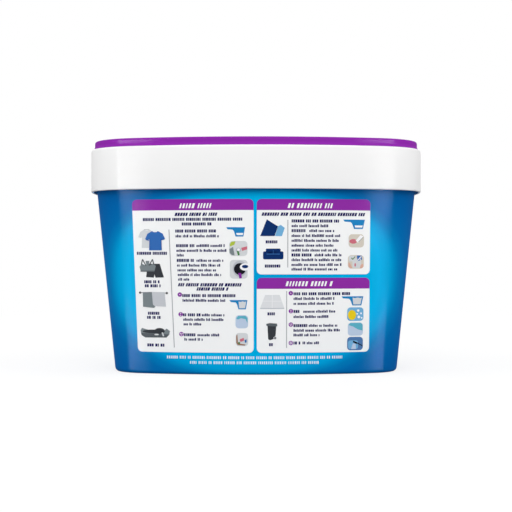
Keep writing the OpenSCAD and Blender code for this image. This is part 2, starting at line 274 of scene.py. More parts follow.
def strip(section, centre, radius, middle, half_angle, steps):
    """Sweeps a closed section of (inset, z) points along part of one long face."""
    verts, faces = [], []
    for k in range(steps + 1):
        angle = middle - half_angle + 2 * half_angle * k / steps
        out = Vector((math.cos(angle), math.sin(angle)))
        for inset, z in section:
            p = centre + (radius - inset) * out
            verts.append((p.x, p.y, z))
    n = len(section)
    for k in range(steps):
        for j in range(n):
            a, b = k * n + j, k * n + (j + 1) % n
            faces.append((a, a + n, b + n, b))
    faces.append(tuple(range(n)))
    faces.append(tuple(reversed(range(steps * n, (steps + 1) * n))))
    return verts, faces


def loft(first, last):
    """A closed form between two rings of as many points."""
    count = len(first)
    faces = ring_faces(0, count, count)
    faces.append(tuple(reversed(range(count))))
    faces.append(tuple(range(count, 2 * count)))
    return first + last, faces


def plain_mesh(name, verts, faces):
    """A helper object in metres, for cutting or joining."""
    mesh = new_mesh(name, verts, faces)
    face_outward(mesh)
    return add_object(name, mesh)


def boolean(base, operation, *helpers):
    """Applies exact booleans to a helper object, and removes the other helpers."""
    for helper in helpers:
        step = base.modifiers.new("step", "BOOLEAN")
        step.operation = operation
        step.solver = "EXACT"
        step.object = helper
        bpy.context.view_layer.update()
        done = bpy.data.meshes.new_from_object(base.evaluated_get(bpy.context.evaluated_depsgraph_get()))
        base.modifiers.clear()
        base.data = done
        bpy.data.objects.remove(helper)


def take_mesh(helper):
    mesh = helper.data
    bpy.data.objects.remove(helper)
    return mesh


# Colours and materials
def rgb(red, green, blue):
    """Linear colour of an 8-bit screen colour."""
    def linear(value):
        share = value / 255
        return share / 12.92 if share <= 0.04045 else ((share + 0.055) / 1.055) ** 2.4
    return (linear(red), linear(green), linear(blue), 1.0)


COAT_ROUGHNESS = 0.12
FILM_GLOSS = 0.03
PRINT_GRAIN = 120.0
PRINT_DEPTH = 0.00001
# Features per metre in the colour, in the gloss of mouldings and in the gloss of print
MOTTLE = 14.0
SHEEN = 60.0
PRINT_SHEEN = 40.0


def new_material(name, roughness, gloss):
    """A surface whose only gloss is a thin coat, so that its edges stay as dark as its middle."""
    material = bpy.data.materials.new(name)
    material.use_nodes = True
    shader = material.node_tree.nodes["Principled BSDF"]
    shader.inputs["Roughness"].default_value = roughness
    shader.inputs["Specular IOR Level"].default_value = 0.0
    shader.inputs["Coat Weight"].default_value = gloss
    shader.inputs["Coat Roughness"].default_value = COAT_ROUGHNESS
    return material, material.node_tree, shader


def add_node(tree, kind, **values):
    node = tree.nodes.new(kind)
    for key, value in values.items():
        setattr(node, key, value)
    return node


def maths(tree, operation, first, second=0.0, clamp=False):
    """A maths node over two values, each a number or the output of another node."""
    node = add_node(tree, "ShaderNodeMath", operation=operation, use_clamp=clamp)
    for socket, value in zip(node.inputs, (first, second)):
        if isinstance(value, (int, float)):
            socket.default_value = value
        else:
            tree.links.new(value, socket)
    return node.outputs[0]


def mapped(tree, value, start, end, low, high, kind="LINEAR"):
    """Maps a value from start to end onto low to high."""
    node = add_node(tree, "ShaderNodeMapRange", interpolation_type=kind)
    for key, number in (("From Min", start), ("From Max", end), ("To Min", low), ("To Max", high)):
        node.inputs[key].default_value = number
    tree.links.new(value, node.inputs["Value"])
    return node.outputs["Result"]


def object_place(tree):
    """Coordinates in the object's own frame, in metres."""
    return add_node(tree, "ShaderNodeTexCoord").outputs["Object"]


def object_axes(tree):
    split = add_node(tree, "ShaderNodeSeparateXYZ")
    tree.links.new(object_place(tree), split.inputs["Vector"])
    return split.outputs


def noise_field(tree, scale, detail=3.0):
    """Noise over object coordinates: scale is in features per metre."""
    field = add_node(tree, "ShaderNodeTexNoise")
    field.inputs["Scale"].default_value = scale
    field.inputs["Detail"].default_value = detail
    tree.links.new(object_place(tree), field.inputs["Vector"])
    return field.outputs["Fac"]


def uneven(tree, shader, roughness, scale, share):
    """Roughness that wanders by a share either way, over the usual reach of noise."""
    low, high = roughness * (1 - share), roughness * (1 + share)
    value = mapped(tree, noise_field(tree, scale), 0.3, 0.7, low, high)
    tree.links.new(value, shader.inputs["Roughness"])


def bump(tree, shader, height, distance, strength=1.0):
    node = add_node(tree, "ShaderNodeBump")
    node.inputs["Strength"].default_value = strength
    node.inputs["Distance"].default_value = distance
    tree.links.new(height, node.inputs["Height"])
    tree.links.new(node.outputs["Normal"], shader.inputs["Normal"])


def tinted(tree, shader, colour, other, value):
    """Base colour that wanders between two near colours."""
    mix = add_node(tree, "ShaderNodeMix", data_type="RGBA")
    mix.inputs["A"].default_value = colour
    mix.inputs["B"].default_value = other
    tree.links.new(value, mix.inputs["Factor"])
    tree.links.new(mix.outputs["Result"], shader.inputs["Base Color"])


def plastic(name, colour, other, roughness, gloss, grain=900.0, depth=0.00002):
    """Moulded plastic in two near 8-bit colours, with uneven gloss and a fine grain."""
    material, tree, shader = new_material(name, roughness, gloss)
    tinted(tree, shader, rgb(*colour), rgb(*other), noise_field(tree, MOTTLE))
    uneven(tree, shader, roughness, SHEEN, 0.15)
    bump(tree, shader, noise_field(tree, grain, 5.0), depth)
    return material


def print_ink(name, colour, other, roughness):
    return plastic(name, colour, other, roughness, FILM_GLOSS, PRINT_GRAIN, PRINT_DEPTH)


# The glow's middle, its reach to the sides, up and down, and how square its outline is.
# A stop is a distance in reaches, and its colour
GLOW_X = -1.5
GLOW_Z = 68.0
GLOW_W = 105.0
GLOW_UP = 57.2
GLOW_DOWN = 76.5
GLOW_POWER = 2.5
GLOW_STOPS = [
    (0.0, (0, 159, 216)),
    (0.5, (0, 168, 223)),
    (0.78, (0, 178, 233)),
    (0.85, (0, 158, 215)),
    (0.905, (0, 123, 187)),
    (0.96, (0, 105, 174)),
    (1.04, (0, 98, 169)),
    (1.12, (0, 93, 164)),
]


def printed_blue(name, roughness, gloss):
    """Blue print that brightens toward the middle of each long face."""
    material, tree, shader = new_material(name, roughness, gloss)
    axes = object_axes(tree)
    across = maths(tree, "DIVIDE", maths(tree, "SUBTRACT", axes["X"], GLOW_X * MM), GLOW_W * MM)
    rise = maths(tree, "SUBTRACT", axes["Z"], GLOW_Z * MM)
    above = maths(tree, "DIVIDE", maths(tree, "MAXIMUM", rise), GLOW_UP * MM)
    below = maths(tree, "DIVIDE", maths(tree, "MINIMUM", rise), -GLOW_DOWN * MM)
    reaches = (maths(tree, "ABSOLUTE", across), above, below)
    sides = [maths(tree, "POWER", reach, GLOW_POWER) for reach in reaches]
    total = maths(tree, "ADD", maths(tree, "ADD", sides[0], sides[1]), sides[2])
    far = maths(tree, "POWER", total, 1 / GLOW_POWER)
    ramp = add_node(tree, "ShaderNodeValToRGB")
    tree.links.new(maths(tree, "DIVIDE", far, GLOW_STOPS[-1][0]), ramp.inputs["Fac"])
    stops = ramp.color_ramp.elements
    while len(stops) < len(GLOW_STOPS):
        stops.new(0.5)
    for stop, (reach, colour) in zip(stops, GLOW_STOPS):
        stop.position = reach / GLOW_STOPS[-1][0]
        stop.color = rgb(*colour)
    tree.links.new(ramp.outputs["Color"], shader.inputs["Base Color"])
    uneven(tree, shader, roughness, PRINT_SHEEN, 0.1)
    bump(tree, shader, noise_field(tree, PRINT_GRAIN, 2.0), PRINT_DEPTH)
    return material


blue_film = printed_blue("blue_film", 0.3, FILM_GLOSS)
blue_tub = printed_blue("blue_tub", 0.4, FILM_GLOSS)
white_print = print_ink("white_print", (248, 249, 249), (246, 247, 248), 0.3)
purple_print = print_ink("purple_print", (143, 48, 163), (141, 46, 161), 0.3)
white_plastic = plastic("white_plastic", (240, 240, 240), (239, 239, 239), 0.35, 0.024)
purple_plastic = plastic("purple_plastic", (138, 40, 164), (135, 38, 161), 0.28, 0.065)
blue_scoop = plastic("blue_scoop", (38, 132, 205), (34, 127, 200), 0.35, 0.1)
powder_white = plastic("powder_white", (240, 242, 244), (228, 232, 238), 0.9, 0.0, 2200.0, 0.0004)


# Tub
def inner_inset(z):
    if z > FILM_TOP:
        return NECK_INNER
    return wall_inset(z) + FILM_T + TUB_WALL


NECK_INSET = wall_inset(FILM_TOP)
NECK_INNER = NECK_INSET + FILM_T + TUB_WALL
BASE_INSET = wall_inset(0) - BASE_R * math.tan(DRAFT) + BASE_R / math.cos(DRAFT)
SNAP_Z = RIM_Z - SNAP_DROP
FILM_SEAT = FILM_T + LAYER_GAP


def make_tub():
    section = [(BASE_INSET + FOOT_W, FOOT_H), (BASE_INSET + FOOT_W, 0)]
    section += rounded(BASE_INSET, BASE_R, BASE_R, -90, -math.degrees(DRAFT))
    section += [
        (wall_inset(FILM_BOTTOM), FILM_BOTTOM),
        (wall_inset(FILM_BOTTOM) + FILM_SEAT, FILM_BOTTOM),
        (NECK_INSET + FILM_SEAT, FILM_TOP),
        (NECK_INSET, FILM_TOP),
        (NECK_INSET, SNAP_Z),
        (NECK_INSET - SNAP_D, SNAP_Z),
        (NECK_INSET - SNAP_D, SNAP_Z + SNAP_W),
        (NECK_INSET, SNAP_Z + SNAP_RAMP),
        (NECK_INSET, RIM_Z),
        (NECK_INNER, RIM_Z),
        (NECK_INNER, FILM_TOP),
        (inner_inset(FLOOR_Z), FLOOR_Z),
    ]
    mesh = new_mesh("tub_shell", *swept(section, closed=False))
    piece = add_piece("tub_shell", mesh, blue_tub)
    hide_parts("tub")


def make_film():
    low, high = wall_inset(FILM_BOTTOM), wall_inset(FILM_TOP)
    section = [
        (low + FILM_T, FILM_BOTTOM),
        (low, FILM_BOTTOM),
        (high, FILM_TOP),
        (high + FILM_T, FILM_TOP),
    ]
    mesh = new_mesh("label_wrap", *swept(section, closed=True))
    piece = add_piece("label_wrap", mesh, blue_film)
    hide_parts("label_film")


# Collar
MOUTH_OUTER = NECK_INNER + NECK_GAP
MOUTH_INNER = MOUTH_OUTER + MOUTH_T
STRAP_INSET = SKIRT_T + 2 * STRAP_GAP
HINGE_A = math.asin(HINGE_W / 2 / (FACE_R - STRAP_INSET))


def make_collar():
    catch_z = SNAP_Z - SNAP_GAP
    catch_inset = NECK_INSET - SNAP_GAP
    section = rounded(HEM_R, SKIRT_Z + HEM_R, HEM_R, -90, 0)
    section += rounded(SHOULDER_R, COLLAR_TOP - SHOULDER_R, SHOULDER_R, 0, 90, steps=8)
    section += [
        (MOUTH_INNER, COLLAR_TOP),
        (MOUTH_INNER, COLLAR_TOP - MOUTH_H),
        (MOUTH_OUTER, COLLAR_TOP - MOUTH_H),
        (MOUTH_OUTER, RIM_Z),
        (SKIRT_T, RIM_Z),
        (SKIRT_T, catch_z),
        (catch_inset, catch_z),
        (catch_inset, catch_z - SNAP_W),
        (SKIRT_T, catch_z - SNAP_RAMP),
        (SKIRT_T, SKIRT_Z),
    ]
    shell = plain_mesh("collar_form", *swept(section, closed=True))
    slot_outer = STRAP_INSET - STRAP_GAP
    slot_inner = slot_outer + STRAP_T + 2 * STRAP_GAP
    slot_section = [
        (slot_inner, RIM_Z - CUT),
        (slot_outer, RIM_Z - CUT),
        (slot_outer, COLLAR_TOP + CUT),
        (slot_inner, COLLAR_TOP + CUT),
    ]
    slot_a = HINGE_A * (HINGE_W + 2 * STRAP_GAP) / HINGE_W
    slot = plain_mesh("slot_form", *strip(slot_section, BACK_C, FACE_R, -math.pi / 2, slot_a, steps=16))
    boolean(shell, "DIFFERENCE", slot, plain_mesh("thumb_form", *thumb_dish()))
    piece = add_piece("collar_shell", take_mesh(shell), white_plastic)
    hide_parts("collar")


THUMB_SLOPE = 0.8


def thumb_dish():
    """The space cut from the front of the skirt: a round-bottomed dish of even depth."""
    middle = COLLAR_TOP + THUMB_RISE

    def ring(inset, radius):
        circle = disc(0.0, middle, radius, 40)
        return [(x, FRONT_C.y + math.sqrt((FACE_R - inset) ** 2 - x * x), z) for x, z in circle]

    return loft(ring(THUMB_D, THUMB_R - THUMB_SLOPE), ring(-CUT, THUMB_R))


# Lid
LID_Z = COLLAR_TOP + LID_GAP
SIDE_INSET = LID_INSET + LID_WAIST
PLUG_OUTER = MOUTH_INNER + PLUG_GAP
PLUG_INNER = PLUG_OUTER + LID_T
RIM_LAND = 0.5
RIM_INNER = max(SIDE_INSET + LID_R + RIM_W, PLUG_INNER + RIM_LAND)
PLATE_TOP = LID_TOP - RECESS_D
FLARE_SHARE = 0.4


def make_lid():
    rim_under = LID_TOP - LID_T
    flare_h = (LID_TOP - LID_Z) * FLARE_SHARE
    plug_z = COLLAR_TOP - PLUG_H
    section = [
        (PLUG_INNER, PLATE_TOP - LID_T),
        (PLUG_INNER, plug_z),
        (PLUG_OUTER, plug_z),
        (PLUG_OUTER, rim_under),
        (SIDE_INSET + LID_T, rim_under),
        (SIDE_INSET + LID_T, LID_Z + flare_h),
        (LID_INSET + LID_T, LID_Z),
    ]
    flare_steps = 8
    for k in range(flare_steps + 1):
        share = k / flare_steps
        section.append((LID_INSET + LID_WAIST * math.sin(math.pi / 2 * share), LID_Z + flare_h * share))
    section += rounded(SIDE_INSET + LID_R, LID_TOP - LID_R, LID_R, 0, 90, steps=8)
    section += [(RIM_INNER, LID_TOP), (RIM_INNER + RECESS_D / 2, PLATE_TOP)]
    shell = plain_mesh("lid_form", *swept(section, closed=False))
    lip = [
        (LID_INSET + LID_T, LID_Z),
        (LIP_INSET, LID_Z),
        (LIP_INSET, LID_Z + LIP_T),
        (LID_INSET + LID_T, LID_Z + LIP_T),
    ]
    lip_a = math.radians(LIP_ANGLE)
    tab = plain_mesh("lip_form", *strip(lip, FRONT_C, FACE_R, math.pi / 2, lip_a, steps=12))
    boolean(shell, "UNION", tab)
    piece = add_piece("lid_shell", take_mesh(shell), purple_plastic, LID_BODY)
    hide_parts("lid")


# Print: flat shapes, seen from the back, laid on the wall as thin closed layers
INK_T = 0.04
INK_GAP = 0.01
CELL = 2.5


def on_wall(x, z, lift):
    """The point of the back wall that is seen at x and z, and stands off the film by lift."""
    inset = wall_inset(z) - lift
    if abs(x) <= (FACE_R - inset) * math.sin(BACK_A):
        return (x, BACK_C.y - math.sqrt((FACE_R - inset) ** 2 - x * x), z)
    across = abs(x) - BACK_CORNER.x
    return (x, BACK_CORNER.y - math.sqrt((CORNER_R - inset) ** 2 - across * across), z)


def ink_level(level):
    """Lowest and highest lift of a level: 0 is the panels, and inks lie on them from 1 up."""
    if level == 0:
        return LAYER_GAP, LAYER_GAP + PRINT_T
    low = LAYER_GAP + PRINT_T + INK_GAP + (level - 1) * (INK_T + INK_GAP)
    return low, low + INK_T


def printed(name, shapes, level, material, node, cell=CELL):
    """One piece of all the shapes of an ink. Wide shapes are cut into strips, to follow the wall."""
    flat = bmesh.new()
    for shape in shapes:
        flat.faces.new([flat.verts.new((x, 0.0, z)) for x, z in shape])
    flat.normal_update()
    bmesh.ops.triangulate(flat, faces=flat.faces[:])
    if cell:
        ends = [vert.co.x for vert in flat.verts]
        for k in range(math.floor(min(ends) / cell) + 1, math.ceil(max(ends) / cell)):
            whole = flat.verts[:] + flat.edges[:] + flat.faces[:]
            cut = (k * cell, 0, 0)
            bmesh.ops.bisect_plane(flat, geom=whole, dist=1e-4, plane_co=cut, plane_no=(1, 0, 0))
    flat.verts.index_update()
    count = len(flat.verts)
    low, high = ink_level(level)
    verts = [on_wall(vert.co.x, vert.co.z, lift) for lift in (high, low) for vert in flat.verts]
    faces = []
    for face in flat.faces:
        ring = [vert.index for vert in face.verts]
        faces.append(ring)
        faces.append([count + i for i in reversed(ring)])
    for edge in flat.edges:
        if len(edge.link_faces) == 1:
            loop = edge.link_loops[0]
            a, b = loop.vert.index, loop.link_loop_next.vert.index
            faces.append([b, a, count + a, count + b])
    flat.free()
    piece = add_piece(name, new_mesh(name, verts, faces), material)
    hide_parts(node)


COLUMN_LEFT = COLUMN_X - COLUMN_GAP / 2
COLUMN_RIGHT = COLUMN_X + COLUMN_GAP / 2
UPPER_BOTTOM = ROW_Z + ROW_GAP / 2
LOWER_TOP = ROW_Z - ROW_GAP / 2
ON_LEFT = (PANEL_LEFT, PANEL_TOP)
ON_UPPER = (COLUMN_RIGHT, PANEL_TOP)
ON_LOWER = (COLUMN_RIGHT, LOWER_TOP)
# The panels: left edge at the top, left edge at the bottom, right edge, bottom, top
PANELS = [
    (PANEL_LEFT, PANEL_LEFT + PANEL_LEAN, COLUMN_LEFT, PANEL_BOTTOM, PANEL_TOP),
    (COLUMN_RIGHT, COLUMN_RIGHT, PANEL_RIGHT, UPPER_BOTTOM, PANEL_TOP),
    (COLUMN_RIGHT, COLUMN_RIGHT, PANEL_RIGHT, PANEL_BOTTOM, LOWER_TOP),
]


def make_panels():
    fields, bands = [], []
    for left_top, left_bottom, right, bottom, top in PANELS:
        r = PANEL_R
        band_z = top - BAND_H
        share = (BAND_H - r) / (top - bottom - 2 * r)
        left = left_top + (left_bottom - left_top) * share
        fields.append(
            [(right, band_z), (left, band_z)]
            + arc(left_bottom + r, bottom + r, r, 180, 270)
            + arc(right - r, bottom + r, r, 270, 360)
        )
        bands.append(
            [(left, band_z), (right, band_z)]
            + arc(right - r, top - r, r, 0, 90)
            + arc(left_top + r, top - r, r, 90, 180)
        )
    printed("panel_fields", fields, 0, white_print, "info_panels")
    printed("panel_bands", bands, 0, purple_print, "header_bands")


# Rows of small print, as blocks in the rhythm of words: across, down and width from a panel's
# top left corner, and the style. A style is the row's height, the width of a block and of a gap
# in heights, the slant, and the share of low blocks.
HEAD = (2.1, 0.56, 0.15, 0.3, 0.0)
BOLD = (1.9, 0.53, 0.14, 0.0, 0.0)
PLAIN = (1.75, 0.43, 0.13, 0.0, 0.62)
TITLE = (3.1, 0.37, 0.3, 0.28, 0.0)
FOOTER = (1.8, 0.31, 0.36, 0.0, 0.0)
LOW_BLOCK = 0.76
# How much a block's width varies, the least and most blocks in a word, and a space in heights
BLOCK_SPREAD = (0.7, 1.3)
WORD = (2, 8)
SPACE = 0.45
LEFT_ROWS = [
    (28.2, 9.7, 27.6, HEAD), (7.1, 12.9, 65.8, BOLD), (32.6, 15.9, 19.3, BOLD),
    (28.3, 20.4, 26.7, BOLD), (28.5, 23.6, 27.9, PLAIN),
    (28.8, 29.8, 12.2, BOLD), (42.0, 29.8, 19.0, PLAIN), (29.0, 32.9, 32.6, PLAIN),
    (29.2, 35.9, 5.4, PLAIN), (29.2, 39.3, 12.0, BOLD), (42.0, 39.3, 17.5, PLAIN),
    (29.4, 42.4, 28.3, PLAIN), (29.6, 45.5, 26.7, PLAIN), (29.8, 48.5, 28.8, PLAIN),
    (30.0, 51.5, 8.4, PLAIN), (30.1, 55.0, 43.1, HEAD), (42.2, 57.7, 21.1, HEAD),
    (32.6, 62.0, 35.6, BOLD), (32.8, 65.1, 28.1, PLAIN),
    (33.0, 74.5, 11.5, BOLD), (45.3, 74.5, 14.7, PLAIN), (33.2, 77.5, 27.6, PLAIN),
    (33.4, 80.5, 12.5, PLAIN), (33.5, 87.5, 8.0, BOLD), (42.4, 87.5, 15.4, PLAIN),
    (33.8, 90.4, 12.7, PLAIN),
    (2.9, 34.7, 20.9, BOLD), (7.6, 53.2, 11.3, BOLD), (8.0, 55.8, 10.8, BOLD),
    (9.9, 73.7, 8.6, BOLD), (9.3, 76.4, 10.0, BOLD), (9.3, 94.5, 11.7, BOLD),
]
UPPER_ROWS = [
    (3.3, 9.7, 67.3, HEAD), (22.3, 14.0, 31.7, BOLD), (22.3, 17.1, 23.6, PLAIN),
    (22.3, 20.2, 10.5, BOLD), (33.7, 20.2, 16.8, PLAIN), (22.3, 23.4, 31.9, PLAIN),
    (22.3, 26.5, 30.5, PLAIN), (22.3, 29.6, 27.2, PLAIN), (22.3, 32.7, 29.7, PLAIN),
    (22.3, 35.8, 14.0, BOLD), (37.2, 35.8, 17.7, PLAIN), (22.3, 38.9, 33.4, PLAIN),
    (22.3, 42.0, 32.9, PLAIN), (22.3, 44.9, 30.7, PLAIN),
    (5.7, 27.4, 7.8, BOLD), (5.2, 42.9, 11.0, BOLD),
]
LOWER_ROWS = [
    (23.7, 10.3, 37.2, BOLD), (23.7, 13.4, 27.1, PLAIN), (23.7, 16.6, 26.4, PLAIN),
    (23.7, 21.7, 5.4, BOLD), (30.0, 21.7, 21.1, PLAIN), (23.7, 25.1, 23.8, PLAIN),
    (23.7, 30.9, 9.0, BOLD), (33.6, 30.9, 19.3, PLAIN), (23.7, 34.0, 31.2, PLAIN),
    (23.7, 37.0, 17.1, PLAIN), (23.7, 42.2, 5.0, BOLD), (29.6, 42.2, 11.4, PLAIN),
    (6.9, 23.2, 5.6, BOLD), (7.9, 43.2, 3.6, BOLD),
]
TITLES = [(ON_LEFT, 31.4, 4.2, 20.2), (ON_UPPER, 20.1, 4.2, 30.1), (ON_LOWER, 18.9, 3.8, 31.4)]
# The two rows on the film: left end, height and width
FOOTERS = [(-57.9, 11.3, 114.1), (-42.8, 8.0, 84.3)]
dice = random.Random(11)


def print_row(x, z, width, style):
    """Upright blocks of uneven width, in words, with no letters."""
    height, block, gap, slant, low_share = style
    end = x + width
    bottom = height / 2
    shapes = []
    while x < end:
        for _ in range(dice.randint(*WORD)):
            wide = height * block * dice.uniform(*BLOCK_SPREAD)
            top = bottom
            if dice.random() < low_share:
                top = height * LOW_BLOCK - bottom
            if x + wide > end:
                break
            shapes.append([
                (x - slant * bottom, z - bottom),
                (x + wide - slant * bottom, z - bottom),
                (x + wide + slant * top, z + top),
                (x + slant * top, z + top),
            ])
            x += wide + height * gap
        x += height * SPACE
    return shapes


def make_text():
    small, white = [], []
    for corner, rows in ((ON_LEFT, LEFT_ROWS), (ON_UPPER, UPPER_ROWS), (ON_LOWER, LOWER_ROWS)):
        for across, down, width, style in rows:
            small += print_row(corner[0] + across, corner[1] - down, width, style)
    for corner, across, down, width in TITLES:
        white += print_row(corner[0] + across, corner[1] - down, width, TITLE)
    footer = []
    for x, z, width in FOOTERS:
        footer += print_row(x, z, width, FOOTER)
    printed("small_print", small, 1, inks["navy"], "text_rows", cell=None)
    printed("band_titles", white, 1, inks["white"], "title_rows", cell=None)
    printed("footer_rows", footer, 0, inks["white"], "title_rows", cell=None)


# Pictures
INK_COLOURS = {
    "navy": (34, 34, 92),
    "blue": (58, 110, 182),
    "shirt_shade": (40, 84, 156),
    "deep_blue": (20, 52, 108),
    "steel": (84, 124, 176),
    "cup_blue": (38, 134, 196),
    "sky": (118, 178, 220),
    "teal": (96, 178, 200),
    "pale_blue": (190, 207, 230),
    "white": (250, 250, 252),
    "light": (214, 217, 220),
    "tile": (226, 228, 231),
    "towel": (200, 203, 209),
    "silver": (188, 192, 200),
    "grey": (126, 136, 140),
    "slate": (92, 98, 103),
    "rule_grey": (168, 168, 174),
    "dark": (62, 65, 70),
    "black": (30, 30, 38),
    "purple": (136, 50, 158),
    "lime": (176, 194, 76),
    "yellow": (236, 206, 40),
    "green": (72, 128, 70),
    "rose": (206, 112, 128),
    "sand": (214, 206, 194),
    "skin": (222, 178, 160),
    "brown": (156, 118, 96),
}
INK_SHADE = 5
inks = {}
for key, shade in INK_COLOURS.items():
    near = [max(value - INK_SHADE, 0) for value in shade]
    inks[key] = print_ink("ink_" + key, shade, near, 0.32)
sheet = {}


def ink(colour, level, corner, *shapes):
    """Puts shapes on the sheet: their points are across and down from a panel's top left corner."""
    for shape in shapes:
        placed = [(corner[0] + across, corner[1] - down) for across, down in shape]
        sheet.setdefault((colour, level), []).append(placed)


def oval(across, down, wide, tall, steps=24):
    turn = 2 * math.pi / steps
    return [(across + wide * math.cos(k * turn), down + tall * math.sin(k * turn)) for k in range(steps)]


def box(left, top, right, bottom, radius=0.0):
    if radius == 0:
        return [(left, top), (right, top), (right, bottom), (left, bottom)]
    return (
        arc(left + radius, top + radius, radius, 180, 270, 4)
        + arc(right - radius, top + radius, radius, 270, 360, 4)
        + arc(right - radius, bottom - radius, radius, 0, 90, 4)
        + arc(left + radius, bottom - radius, radius, 90, 180, 4)
    )


def bar(start, end, width):
    """A straight stroke from start to end."""
    line = Vector(end) - Vector(start)
    side = Vector((-line.y, line.x)).normalized() * width / 2
    corners = ((start, side), (end, side), (end, -side), (start, -side))
    return [tuple(Vector(point) + shift) for point, shift in corners]


def tee(left, top, width, height):
    """A short-sleeved shirt in a box."""
    outline_uv = [
        (0.36, 0.0), (0.43, 0.06), (0.57, 0.06), (0.64, 0.0), (0.88, 0.14), (1.0, 0.42), (0.83, 0.47),
        (0.79, 0.4), (0.82, 1.0), (0.2, 1.0), (0.22, 0.4), (0.17, 0.47), (0.0, 0.42), (0.12, 0.14),
    ]
    return [(left + u * width, top + v * height) for u, v in outline_uv]


CUP_D = 6.0
STEP_R = 1.45
PIP_R = 0.34
PIP_REACH = 0.62


def draw_cup(corner, across, down, width, full):
    """A scoop from the side, with its handle to the left: either full, or with a fill line."""
    cup = [(0.42, 0.0), (1.0, 0.0), (0.91, 1.0), (0.5, 1.0), (0.44, 0.62)]
    handle = [(0.0, 0.0), (0.42, 0.0), (0.46, 0.7), (0.4, 0.4), (0.34, 0.26), (0.07, 0.22)]
    heap = [(0.51, 0.15), (0.62, 0.2), (0.74, 0.14), (0.85, 0.2), (0.93, 0.14), (0.87, 0.88), (0.54, 0.88)]
    level = [(0.53, 0.62), (0.9, 0.62), (0.88, 0.84), (0.56, 0.84)]

    def placed(shape):
        return [(across + u * width, down + v * CUP_D) for u, v in shape]

    ink("cup_blue", 1, corner, placed(cup), placed(handle))
    if full:
        ink("light", 2, corner, placed(heap))
    else:
        ink("white", 2, corner, placed(level))


def draw_step(corner, across, down, number):
    """A purple disc with as many pips as the step's number."""
    ink("purple", 1, corner, disc(across, down, STEP_R))
    for k in range(number):
        turn = math.radians(90 + 360 * k / number)
        reach = 0.0 if number == 1 else PIP_REACH
        middle = (across + reach * math.cos(turn), down + reach * math.sin(turn))
        ink("white", 2, corner, disc(middle[0], middle[1], PIP_R, 10))


def draw_left_column():
    at = ON_LEFT
    ink("light", 1, at, tee(3.9, 19.2, 11.4, 12.0))
    ink("rule_grey", 2, at, bar((7.9, 19.4), (11.0, 19.4), 0.35))
    ink("blue", 3, at, tee(8.4, 20.3, 13.3, 12.5))
    ink("shirt_shade", 4, at, bar((11.4, 25.3), (11.6, 32.6), 0.4), bar((19.0, 25.3), (19.2, 32.6), 0.5))
    ink("shirt_shade", 4, at, bar((8.8, 25.9), (11.0, 26.4), 0.4), bar((19.0, 26.2), (21.2, 25.6), 0.4))
    shorts = [(10, 41.5), (18, 41.5), (20.7, 50.3), (15.2, 50.5), (14.5, 48.4), (14, 50.5), (8.9, 50.2)]
    ink("dark", 1, at, shorts)
    top = [
        (4.6, 43.4), (6.2, 41.4), (8.5, 42.6), (11.3, 42.6),
        (13.6, 41.4), (15.4, 42.8), (14.4, 46.7), (5.4, 46.6),
    ]
    ink("grey", 2, at, top, [(8.6, 39.6), (11.2, 39.6), (10.6, 42.8), (9.2, 42.8)])
    ink("slate", 3, at, bar((5.2, 46.3), (14.5, 46.3), 0.7))
    ink("slate", 3, at, bar((5.8, 42.0), (6.6, 38.6), 0.7), bar((6.5, 38.5), (8.9, 42.7), 0.7))
    ink("slate", 3, at, bar((14.1, 42.0), (13.2, 38.6), 0.7), bar((13.3, 38.5), (10.9, 42.7), 0.7))
    ink("dark", 1, at, bar((4.9, 60.3), (22.3, 60.5), 0.35))
    ink("dark", 2, at, disc(4.8, 60.3, 0.75, 14), disc(22.5, 60.5, 0.75, 14))
    ink("towel", 3, at, [(12.6, 59.8), (21.1, 59.9), (21.9, 69.3), (13.3, 68.9)])
    ink("grey", 4, at, [(6.6, 60.0), (12.6, 59.8), (13.3, 68.0), (15.0, 69.4), (14.0, 70.2), (6.7, 69.5)])
    bed = [
        (4.9, 84.9), (5.8, 83.4), (9.8, 84.5), (14.8, 85.6), (20.0, 85.6), (22.2, 83.6),
        (24.4, 85.2), (23.9, 87.6), (22.1, 89.5), (8.0, 89.6), (5.3, 87.6),
    ]
    ink("grey", 1, at, bed)
    ink("slate", 2, at, [(5.3, 86.6), (23.9, 87.4), (22.1, 89.5), (8.0, 89.6), (5.6, 88.2)])
    ink("dark", 3, at, oval(13.4, 85.6, 7.2, 1.2), oval(17.6, 85.2, 3.4, 1.9))
    ink("light", 4, at, bar((19.3, 86.2), (20.2, 88.6), 0.9), oval(15.6, 87.6, 1.5, 0.5, 14))
    ink("rule_grey", 1, at, bar((24.2, 19.4), (27.2, 95.9), 0.55))
    draw_cup(at, 61.2, 18.0, 12.1, False)
    draw_cup(at, 63.2, 64.8, 11.6, True)
    for k, (across, down) in enumerate(((31.0, 61.4), (31.5, 74.2), (31.9, 87.1))):
        draw_step(at, across, down, k + 1)


